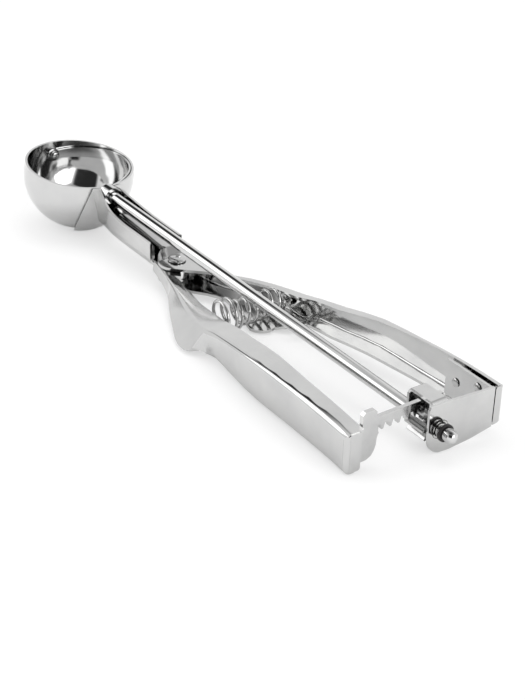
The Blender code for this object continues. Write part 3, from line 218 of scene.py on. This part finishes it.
def even_normals(mesh, reach, smooth_angle, fold_angle):
    """Shading normals that follow the mean of the faces near them, but not over a fold.

    Polished sheet shows every ripple of a coarse mesh, and the real pressing has none.
    """
    faces = mesh.polygons
    normals = np.array([face.normal[:] for face in faces])
    centres = np.array([face.center[:] for face in faces])
    areas = np.array([face.area for face in faces])
    around = [[] for _ in mesh.vertices]
    for face in faces:
        for vertex in face.vertices:
            around[vertex].append(face.index)
    places, leans = [], []
    for face in faces:
        for vertex in face.vertices:
            near = np.array(around[vertex])
            alike = near[normals[near] @ normals[face.index] > math.cos(smooth_angle)]
            mean = (normals[alike] * areas[alike, None]).sum(axis=0)
            places.append(mesh.vertices[vertex].co[:])
            leans.append(mean / max(np.linalg.norm(mean), NEXT_TO_NOTHING))
    places, leans = np.array(places), np.array(leans)
    evened = leans.copy()
    for first in range(0, len(places) if reach else 0, CORNERS_AT_ONCE):
        part = slice(first, first + CORNERS_AT_ONCE)
        apart = (places[part] ** 2).sum(axis=1)[:, None] + (centres ** 2).sum(axis=1)
        apart -= 2 * places[part] @ centres.T
        weight = np.exp(-apart / (2 * reach * reach)) * areas
        weight *= (leans[part] @ normals.T) > math.cos(fold_angle)
        mean = weight @ normals + leans[part] * NEXT_TO_NOTHING
        evened[part] = mean / np.linalg.norm(mean, axis=1)[:, None]
    mesh.normals_split_custom_set([tuple(normal) for normal in evened])


MERGED_WITHIN = 0.00001
LONGEST_EDGE = 0.008
ROUNDS_OF_CUTS = 5


def finish_node(node, material, reach=0.0, smooth_angle=32.0, fold_angle=13.0):
    """A merged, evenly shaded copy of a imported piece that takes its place."""
    mesh = frame["nodes"][node].data.copy()
    work = bmesh.new()
    work.from_mesh(mesh)
    bmesh.ops.remove_doubles(work, verts=work.verts, dist=MERGED_WITHIN)
    bmesh.ops.dissolve_degenerate(work, edges=work.edges, dist=MERGED_WITHIN)
    for _ in range(ROUNDS_OF_CUTS):
        long_edges = [edge for edge in work.edges if reach and edge.calc_length() > LONGEST_EDGE]
        if not long_edges:
            break
        bmesh.ops.subdivide_edges(work, edges=long_edges, cuts=1)
        bmesh.ops.triangulate(work, faces=[face for face in work.faces if len(face.verts) > 3])
    for face in work.faces:
        face.smooth = True
    work.to_mesh(mesh)
    work.free()
    mesh.materials.clear()
    mesh.materials.append(material)
    even_normals(mesh, reach, math.radians(smooth_angle), math.radians(fold_angle))
    piece = bpy.data.objects.new(f"{node}_finish", mesh)
    bpy.context.scene.collection.objects.link(piece)
    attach(piece, body_of_node[node])
    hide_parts(node)
    return piece


ROUND_BOWL = {"Centre": in_scoop(0, 0, 0), "Line": BOWL_LEAN, "Fineness": 2600.0}
bowl_steel = bare_metal(
    "bowl_steel", tone=BOWL_TONE, shade=(0.60, 0.60, 0.60), gloss=0.05, dull=0.11,
    marks=ROUND_BOWL, depth=2 * MICRON)
finish_node("bowl", bowl_steel, reach=0.003, smooth_angle=40.0)

# Shank
# A leaf of the same steel wrapped round the back of the bowl and spot-welded to it, which runs
# into the open trough behind. One pressing, polished along its length.
ALONG_MARKS = {"Stretch": (14.0, 260.0, 260.0), "Fineness": 7.0}
shank_steel = bare_metal(
    "shank_steel", tone=(0.63, 0.63, 0.625), shade=(0.58, 0.58, 0.58), gloss=0.06, dull=0.13,
    marks=ALONG_MARKS, depth=3 * MICRON)
finish_node("shank", shank_steel, reach=0.003, smooth_angle=30.0)

# Fixed handle
# One long pressing: the tang that is welded into the trough, the two ears of the pivot, and a
# channel with a curled lip at its end. Polished with a wheel, so the marks run lengthwise.
handle_steel = bare_metal(
    "handle_steel", tone=(0.60, 0.60, 0.595), shade=(0.55, 0.55, 0.55), gloss=0.06, dull=0.14,
    marks=ALONG_MARKS, depth=3 * MICRON)
finish_node("fixed_handle", handle_steel, reach=0.007, smooth_angle=30.0, fold_angle=14.0)

# Lever handle
# The second pressing, with its ear between the first one's ears, a finger guard near the pivot
# and the same channel behind. The squeezing fingers keep it a little glossier than the other.
lever_steel = bare_metal(
    "lever_steel", tone=(0.60, 0.60, 0.595), shade=(0.55, 0.55, 0.55), gloss=0.05, dull=0.12,
    marks=ALONG_MARKS, depth=3 * MICRON, patches=70.0)
finish_node("lever_handle", lever_steel, reach=0.009, smooth_angle=30.0, fold_angle=20.0)

# Handle pivot
# A turned steel rivet through the ears, headed over a washer below, with a spacer under the
# lever's ear. The turning has left rings on its head.
ROUND_PIVOT = {"Centre": pivot_point, "Line": pivot_line, "Fineness": 2400.0}
pivot_steel = bare_metal(
    "pivot_steel", tone=(0.62, 0.62, 0.615), shade=(0.54, 0.54, 0.54), gloss=0.08, dull=0.18,
    marks=ROUND_PIVOT, depth=6 * MICRON)
for node in ("pivot_rivet", "pivot_spacer", "pivot_washer"):
    finish_node(node, pivot_steel, smooth_angle=38.0)

# Sweep blade
# A strip of spring steel bent to the bowl, with a lug at each end: one on the shaft, one on a
# small rivet through the bowl's front. Blanked, then polished along its curve.
ROUND_BLADE_MARKS = {"Stretch": (60.0, 60.0, 320.0), "Fineness": 5.0}
blade_steel = bare_metal(
    "blade_steel", tone=(0.62, 0.62, 0.62), shade=(0.54, 0.54, 0.54), gloss=0.07, dull=0.15,
    marks=ROUND_BLADE_MARKS, depth=3 * MICRON)
finish_node("sweep_blade", blade_steel, smooth_angle=30.0)
ROUND_SHAFT = {"Centre": shaft_point, "Line": shaft_line, "Fineness": 2400.0}
for node in ("blade_pivot_rivet", "blade_pivot_washer"):
    small_steel = bare_metal(
        f"{node}_steel", tone=(0.61, 0.61, 0.605), shade=(0.54, 0.54, 0.54), gloss=0.08, dull=0.17,
        marks=ROUND_SHAFT, depth=4 * MICRON)
    finish_node(node, small_steel, smooth_angle=38.0)

# Drive shaft, its ring and washer
# A ground and polished steel rod, turned down at both ends. A blackened spring ring sits in a
# groove of the rear end, with a loose bright washer before it.
WASHER_RADIUS = 0.0024


def draw_in(piece, limit):
    """Brings what stands further than the limit from the shaft's line in to that limit."""
    for vertex in piece.data.vertices:
        offset = vertex.co - shaft_point
        out = offset - shaft_line * offset.dot(shaft_line)
        if out.length > limit:
            vertex.co -= out * (1.0 - limit / out.length)


def seat_flush(piece, limit):
    """Brings what stands behind a place along the shaft forward to it."""
    for vertex in piece.data.vertices:
        along = (vertex.co - shaft_point).dot(shaft_line)
        vertex.co -= shaft_line * max(along - limit, 0.0)


shaft_steel = bare_metal(
    "shaft_steel", tone=(0.65, 0.65, 0.645), shade=(0.60, 0.60, 0.60), gloss=0.05, dull=0.10,
    marks=ROUND_SHAFT, depth=2 * MICRON)
finish_node("drive_shaft", shaft_steel, smooth_angle=38.0)
washer_steel = bare_metal(
    "washer_steel", tone=(0.60, 0.60, 0.595), shade=(0.52, 0.52, 0.52), gloss=0.10, dull=0.20,
    marks=ROUND_SHAFT, depth=4 * MICRON)
draw_in(finish_node("thrust_washer", washer_steel, smooth_angle=38.0), WASHER_RADIUS)
ring_black = bare_metal(
    "ring_black", tone=(0.020, 0.020, 0.022), shade=(0.045, 0.043, 0.042), gloss=0.30, dull=0.48,
    marks=ROUND_SHAFT, depth=8 * MICRON, metallic=0.7)
finish_node("retaining_ring", ring_black, smooth_angle=38.0)

# Pinion and rack
# A ten-tooth pinion pressed on the shaft, and the blanked plate on the lever whose arm carries
# the rack's teeth. Both are cut steel, so they are duller than the polished pressings.
pinion_steel = bare_metal(
    "pinion_steel", tone=(0.56, 0.56, 0.555), shade=(0.47, 0.47, 0.47), gloss=0.14, dull=0.26,
    marks=ROUND_SHAFT, depth=6 * MICRON)
finish_node("pinion", pinion_steel, smooth_angle=30.0)
ACROSS_RACK = {"Stretch": (200.0, 30.0, 200.0), "Fineness": 6.0}
rack_steel = bare_metal(
    "rack_steel", tone=(0.61, 0.61, 0.605), shade=(0.53, 0.53, 0.53), gloss=0.10, dull=0.20,
    marks=ACROSS_RACK, depth=5 * MICRON)
finish_node("rack_plate", rack_steel, smooth_angle=30.0)

# Pinion bracket
# A folded strip that holds the shaft's two bushes, with a wing welded to the fixed handle's web
# on two studs. The strip is rolled stock, polished after folding.
REAR_FLANGE_RADIUS = 0.0030
REAR_PLATE_ALONG = 0.2042
ACROSS_BRACKET = {"Stretch": (200.0, 18.0, 200.0), "Fineness": 6.0}
bracket_steel = bare_metal(
    "bracket_steel", tone=(0.61, 0.61, 0.605), shade=(0.55, 0.55, 0.55), gloss=0.07, dull=0.15,
    marks=ACROSS_BRACKET, depth=3 * MICRON)
finish_node("pinion_bracket", bracket_steel, smooth_angle=30.0)
bush_steel = bare_metal(
    "bush_steel", tone=(0.59, 0.59, 0.58), shade=(0.51, 0.51, 0.50), gloss=0.12, dull=0.24,
    marks=ROUND_SHAFT, depth=5 * MICRON)
finish_node("front_bush", bush_steel, smooth_angle=38.0)
rear_bush = finish_node("rear_bush", bush_steel, smooth_angle=38.0)
draw_in(rear_bush, REAR_FLANGE_RADIUS)
seat_flush(rear_bush, REAR_PLATE_ALONG)
SPECKLED = {"Stretch": (120.0, 120.0, 120.0), "Fineness": 8.0}
stud_steel = bare_metal(
    "stud_steel", tone=(0.59, 0.59, 0.585), shade=(0.50, 0.50, 0.50), gloss=0.12, dull=0.24,
    marks=SPECKLED, depth=6 * MICRON)
for node in ("front_bracket_stud", "rear_bracket_stud"):
    finish_node(node, stud_steel, smooth_angle=38.0)

# Return spring
# A barrel-shaped coil of hard-drawn wire that pushes the handles apart. It is wound round a
# boss at either end, and slims under the lever's flange and under the shaft. A row gives a place
# between the handles, the coil's radius there and the height of its middle.
SPRING_ALONG = 0.1070
WIRE_RADIUS = 0.00055
SPRING_NEAR = -0.016828
SPRING_FAR = 0.016398
TURNS = 11
STEPS_A_TURN = 36
BARREL = [
    (-0.0200, 0.00150, -0.0094),
    (-0.0155, 0.00160, -0.0092),
    (-0.0122, 0.00190, -0.0087),
    (-0.0110, 0.00290, -0.0081),
    (-0.0100, 0.00530, -0.0073),
    (-0.0085, 0.00565, -0.0072),
    (-0.0060, 0.00565, -0.0072),
    (-0.0047, 0.00505, -0.0072),
    (-0.0034, 0.00425, -0.0073),
    (0.0020, 0.00420, -0.0073),
    (0.0060, 0.00435, -0.0072),
    (0.0112, 0.00430, -0.0072),
    (0.0135, 0.00330, -0.0075),
    (0.0155, 0.00170, -0.0084),
    (0.0190, 0.00135, -0.0086),
]


def easy_slope(before, after):
    """The slope where two stretches meet, flat where they turn back."""
    if before * after <= 0:
        return 0.0
    return 2 * before * after / (before + after)


def barrel_at(y):
    """Radius and height of the coil at a place between the seats, on a curve through the rows."""
    last = len(BARREL) - 2
    row = min(max(sum(1 for station in BARREL if station[0] <= y) - 1, 0), last)
    a, b = BARREL[row], BARREL[row + 1]
    span = b[0] - a[0]
    t = (y - a[0]) / span
    found = []
    for k in (1, 2):
        here = (b[k] - a[k]) / span
        start = finish = here
        if row > 0:
            before = BARREL[row - 1]
            start = easy_slope((a[k] - before[k]) / (a[0] - before[0]), here)
        if row < last:
            after = BARREL[row + 2]
            finish = easy_slope(here, (after[k] - b[k]) / (after[0] - b[0]))
        found.append((2 * t**3 - 3 * t**2 + 1) * a[k] + (t**3 - 2 * t**2 + t) * start * span
                     + (3 * t**2 - 2 * t**3) * b[k] + (t**3 - t**2) * finish * span)
    return found


wire_path = bpy.data.curves.new("return_spring_wire", "CURVE")
wire_path.dimensions = "3D"
wire_path.bevel_depth = WIRE_RADIUS
wire_path.bevel_resolution = 3
wire_path.use_fill_caps = True
wire = wire_path.splines.new("POLY")
wire.points.add(TURNS * STEPS_A_TURN)
for number, point in enumerate(wire.points):
    share = number / (TURNS * STEPS_A_TURN)
    across = SPRING_NEAR + (SPRING_FAR - SPRING_NEAR) * share
    radius, height = barrel_at(across)
    turn = math.tau * TURNS * share
    along = SPRING_ALONG + radius * math.sin(turn)
    point.co = (*in_scoop(along, across, height - radius * math.cos(turn)), 1.0)
wire_holder = bpy.data.objects.new("return_spring_wire", wire_path)
bpy.context.scene.collection.objects.link(wire_holder)
bpy.context.view_layer.update()
wound_wire = wire_holder.evaluated_get(bpy.context.evaluated_depsgraph_get())
spring_mesh = bpy.data.meshes.new_from_object(wound_wire)
bpy.data.objects.remove(wire_holder)
bpy.data.curves.remove(wire_path)
for face in spring_mesh.polygons:
    face.use_smooth = True
DRAWN_WIRE = {"Stretch": (160.0, 160.0, 160.0), "Fineness": 9.0}
spring_steel = bare_metal(
    "spring_steel", tone=(0.61, 0.61, 0.605), shade=(0.51, 0.51, 0.51), gloss=0.10, dull=0.20,
    marks=DRAWN_WIRE, depth=4 * MICRON)
spring_mesh.materials.clear()
spring_mesh.materials.append(spring_steel)
return_coil = bpy.data.objects.new("return_coil", spring_mesh)
bpy.context.scene.collection.objects.link(return_coil)
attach(return_coil, "frame")
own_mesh(return_coil)
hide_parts("return_spring")
for node in ("fixed_spring_seat", "lever_spring_seat"):
    finish_node(node, stud_steel, smooth_angle=38.0)

# The floor
# A plain white studio floor that keeps the scoop's faint shadow. To the camera it is partly a
# white light, so that it meets the white room without an edge.
FLOOR_WHITE = (0.92, 0.92, 0.92, 1.0)
FLOOR_LIT_SHARE = 0.55
bm = bmesh.new()
bmesh.ops.create_grid(bm, x_segments=1, y_segments=1, size=3.0)
floor_mesh = bpy.data.meshes.new("floor")
bm.to_mesh(floor_mesh)
bm.free()
floor = bpy.data.objects.new("floor", floor_mesh)
bpy.context.scene.collection.objects.link(floor)
floor_paint = bpy.data.materials.new("floor_paint")
floor_paint.use_nodes = True
floor_nodes = floor_paint.node_tree.nodes
floor_links = floor_paint.node_tree.links
floor_shader = floor_nodes["Principled BSDF"]
floor_shader.inputs["Base Color"].default_value = FLOOR_WHITE
floor_shader.inputs["Roughness"].default_value = 0.9
lit_white = floor_nodes.new("ShaderNodeEmission")
lit_white.inputs["Strength"].default_value = 1.0
floor_path = floor_nodes.new("ShaderNodeLightPath")
share_white = floor_nodes.new("ShaderNodeMath")
share_white.operation = "MULTIPLY"
share_white.inputs[1].default_value = FLOOR_LIT_SHARE
floor_mix = floor_nodes.new("ShaderNodeMixShader")
floor_links.new(floor_path.outputs["Is Camera Ray"], share_white.inputs[0])
floor_links.new(share_white.outputs[0], floor_mix.inputs["Fac"])
floor_links.new(floor_shader.outputs["BSDF"], floor_mix.inputs[1])
floor_links.new(lit_white.outputs["Emission"], floor_mix.inputs[2])
floor_links.new(floor_mix.outputs["Shader"], floor_nodes["Material Output"].inputs["Surface"])
floor_mesh.materials.append(floor_paint)

# The light
# A white room, which lights dull surfaces less than it shows in the metal, with three soft
# lamps: one to the left, one to the right and one overhead.
ROOM_LIGHT = 0.72
ROOM_SEEN = 1.0
world = bpy.data.worlds.new("studio")
bpy.context.scene.world = world
world.use_nodes = True
world_nodes = world.node_tree.nodes
world_links = world.node_tree.links
background = world_nodes["Background"]
background.inputs["Color"].default_value = (1, 1, 1, 1)
background.inputs["Strength"].default_value = ROOM_LIGHT
seen = world_nodes.new("ShaderNodeBackground")
seen.inputs["Color"].default_value = (1, 1, 1, 1)
seen.inputs["Strength"].default_value = ROOM_SEEN
light_path = world_nodes.new("ShaderNodeLightPath")
camera_or_gloss = world_nodes.new("ShaderNodeMath")
camera_or_gloss.operation = "MAXIMUM"
any_view = world_nodes.new("ShaderNodeMath")
any_view.operation = "MAXIMUM"
choose = world_nodes.new("ShaderNodeMixShader")
world_links.new(light_path.outputs["Is Camera Ray"], camera_or_gloss.inputs[0])
world_links.new(light_path.outputs["Is Glossy Ray"], camera_or_gloss.inputs[1])
world_links.new(camera_or_gloss.outputs[0], any_view.inputs[0])
world_links.new(light_path.outputs["Is Transmission Ray"], any_view.inputs[1])
world_links.new(any_view.outputs[0], choose.inputs[0])
world_links.new(background.outputs[0], choose.inputs[1])
world_links.new(seen.outputs[0], choose.inputs[2])
world_links.new(choose.outputs[0], world_nodes["World Output"].inputs["Surface"])


def toward(azimuth, elevation, distance):
    """A place in the room, seen from the scoop."""
    a, e = math.radians(azimuth), math.radians(elevation)
    return Vector((math.cos(e) * math.cos(a), math.cos(e) * math.sin(a), math.sin(e))) * distance


def soft_lamp(name, azimuth, elevation, distance, size, watts):
    """A soft lamp that faces the scoop and that the camera doesn't see."""
    lamp = bpy.data.lights.new(name, "AREA")
    lamp.shape = "RECTANGLE"
    lamp.size, lamp.size_y = size
    lamp.energy = watts
    holder = bpy.data.objects.new(name, lamp)
    bpy.context.scene.collection.objects.link(holder)
    holder.location = toward(azimuth, elevation, distance)
    holder.rotation_euler = holder.location.to_track_quat("Z", "Y").to_euler()
    holder.visible_camera = False


soft_lamp("left_softbox", -138.0, 36.0, 1.5, (1.2, 1.3), 6.1)
soft_lamp("right_softbox", 0.0, 27.0, 1.3, (1.5, 0.75), 6.5)
soft_lamp("overhead_softbox", 135.0, 75.0, 1.3, (1.0, 0.8), 5.0)


# Dark cards
# Studio metal is photographed with dark cards round it, so that its edges are drawn. They are
# seen in the metal alone, with edges that fade into the white room.
def dark_card(name, azimuth, elevation, distance, size, tone, fade):
    """A card that faces the scoop, of one tone in its middle and as white as the room at its rim."""
    bm = bmesh.new()
    bmesh.ops.create_grid(bm, x_segments=1, y_segments=1, size=0.5)
    mesh = bpy.data.meshes.new(name)
    bm.to_mesh(mesh)
    bm.free()
    card = bpy.data.objects.new(name, mesh)
    bpy.context.scene.collection.objects.link(card)
    card.location = toward(azimuth, elevation, distance)
    card.rotation_euler = card.location.to_track_quat("Z", "Y").to_euler()
    card.scale = (size[0], size[1], 1.0)
    card.visible_camera = False
    card.visible_diffuse = False
    card.visible_shadow = False
    card.visible_transmission = False
    felt = bpy.data.materials.new(name)
    felt.use_nodes = True
    tree = felt.node_tree
    tree.nodes.remove(tree.nodes["Principled BSDF"])
    glow = tree.nodes.new("ShaderNodeEmission")
    place = tree.nodes.new("ShaderNodeTexCoord")
    split = tree.nodes.new("ShaderNodeSeparateXYZ")
    tree.links.new(place.outputs["Object"], split.inputs[0])
    ramps = []
    for axis, share in zip(("X", "Y"), fade):
        away = tree.nodes.new("ShaderNodeMath")
        away.operation = "ABSOLUTE"
        tree.links.new(split.outputs[axis], away.inputs[0])
        ramp = tree.nodes.new("ShaderNodeMapRange")
        ramp.interpolation_type = "SMOOTHSTEP"
        ramp.inputs["From Min"].default_value = 0.5 * (1.0 - share)
        ramp.inputs["From Max"].default_value = 0.5
        ramp.inputs["To Min"].default_value = 1.0
        ramp.inputs["To Max"].default_value = 0.0
        tree.links.new(away.outputs[0], ramp.inputs["Value"])
        ramps.append(ramp)
    dark = tree.nodes.new("ShaderNodeMath")
    dark.operation = "MULTIPLY"
    tree.links.new(ramps[0].outputs["Result"], dark.inputs[0])
    tree.links.new(ramps[1].outputs["Result"], dark.inputs[1])
    level = tree.nodes.new("ShaderNodeMapRange")
    level.inputs["To Min"].default_value = 1.0
    level.inputs["To Max"].default_value = tone
    tree.links.new(dark.outputs[0], level.inputs["Value"])
    tree.links.new(level.outputs["Result"], glow.inputs["Strength"])
    tree.links.new(glow.outputs[0], tree.nodes["Material Output"].inputs["Surface"])
    mesh.materials.append(felt)


dark_card("camera_side_card", -53.0, 40.0, 1.1, (1.35, 1.25), 0.03, (0.3, 0.2))
dark_card("ceiling_card", -53.0, 82.0, 1.0, (2.40, 2.40), 0.05, (0.9, 0.9))
dark_card("back_card", 172.0, 43.0, 1.1, (0.90, 0.50), 0.03, (0.6, 0.5))
dark_card("side_card", -170.0, 27.0, 1.1, (0.22, 0.45), 0.05, (0.5, 0.4))
dark_card("front_card", -103.0, 20.0, 1.1, (0.55, 0.40), 0.20, (0.5, 0.5))

# The camera
# It stands where the photograph was taken from, and looks in three directions at right angles:
# to the picture's right, up in it, and ahead.
SENSOR_HEIGHT = 36.0
PICTURE_HEIGHT = 700.0
FOCAL_LENGTH_IN_PICTURE = 1700.0
CAMERA_PLACE = Vector((0.41997, -0.29789, 0.23684))
view = bpy.data.cameras.new("camera")
view.sensor_fit = "VERTICAL"
view.sensor_height = SENSOR_HEIGHT
view.lens = FOCAL_LENGTH_IN_PICTURE / PICTURE_HEIGHT * SENSOR_HEIGHT
view.clip_start = 0.01
camera = bpy.data.objects.new("camera", view)
bpy.context.scene.collection.objects.link(camera)
right = Vector((0.58490, 0.80947, 0.05034))
up = Vector((-0.37800, 0.21716, 0.89994))
ahead = Vector((-0.71761, 0.54549, -0.43304))
facing = Matrix((right, up, -ahead)).transposed()
camera.matrix_world = Matrix.Translation(CAMERA_PLACE) @ facing.to_4x4()
bpy.context.scene.camera = camera
bpy.context.scene.view_settings.view_transform = "Standard"
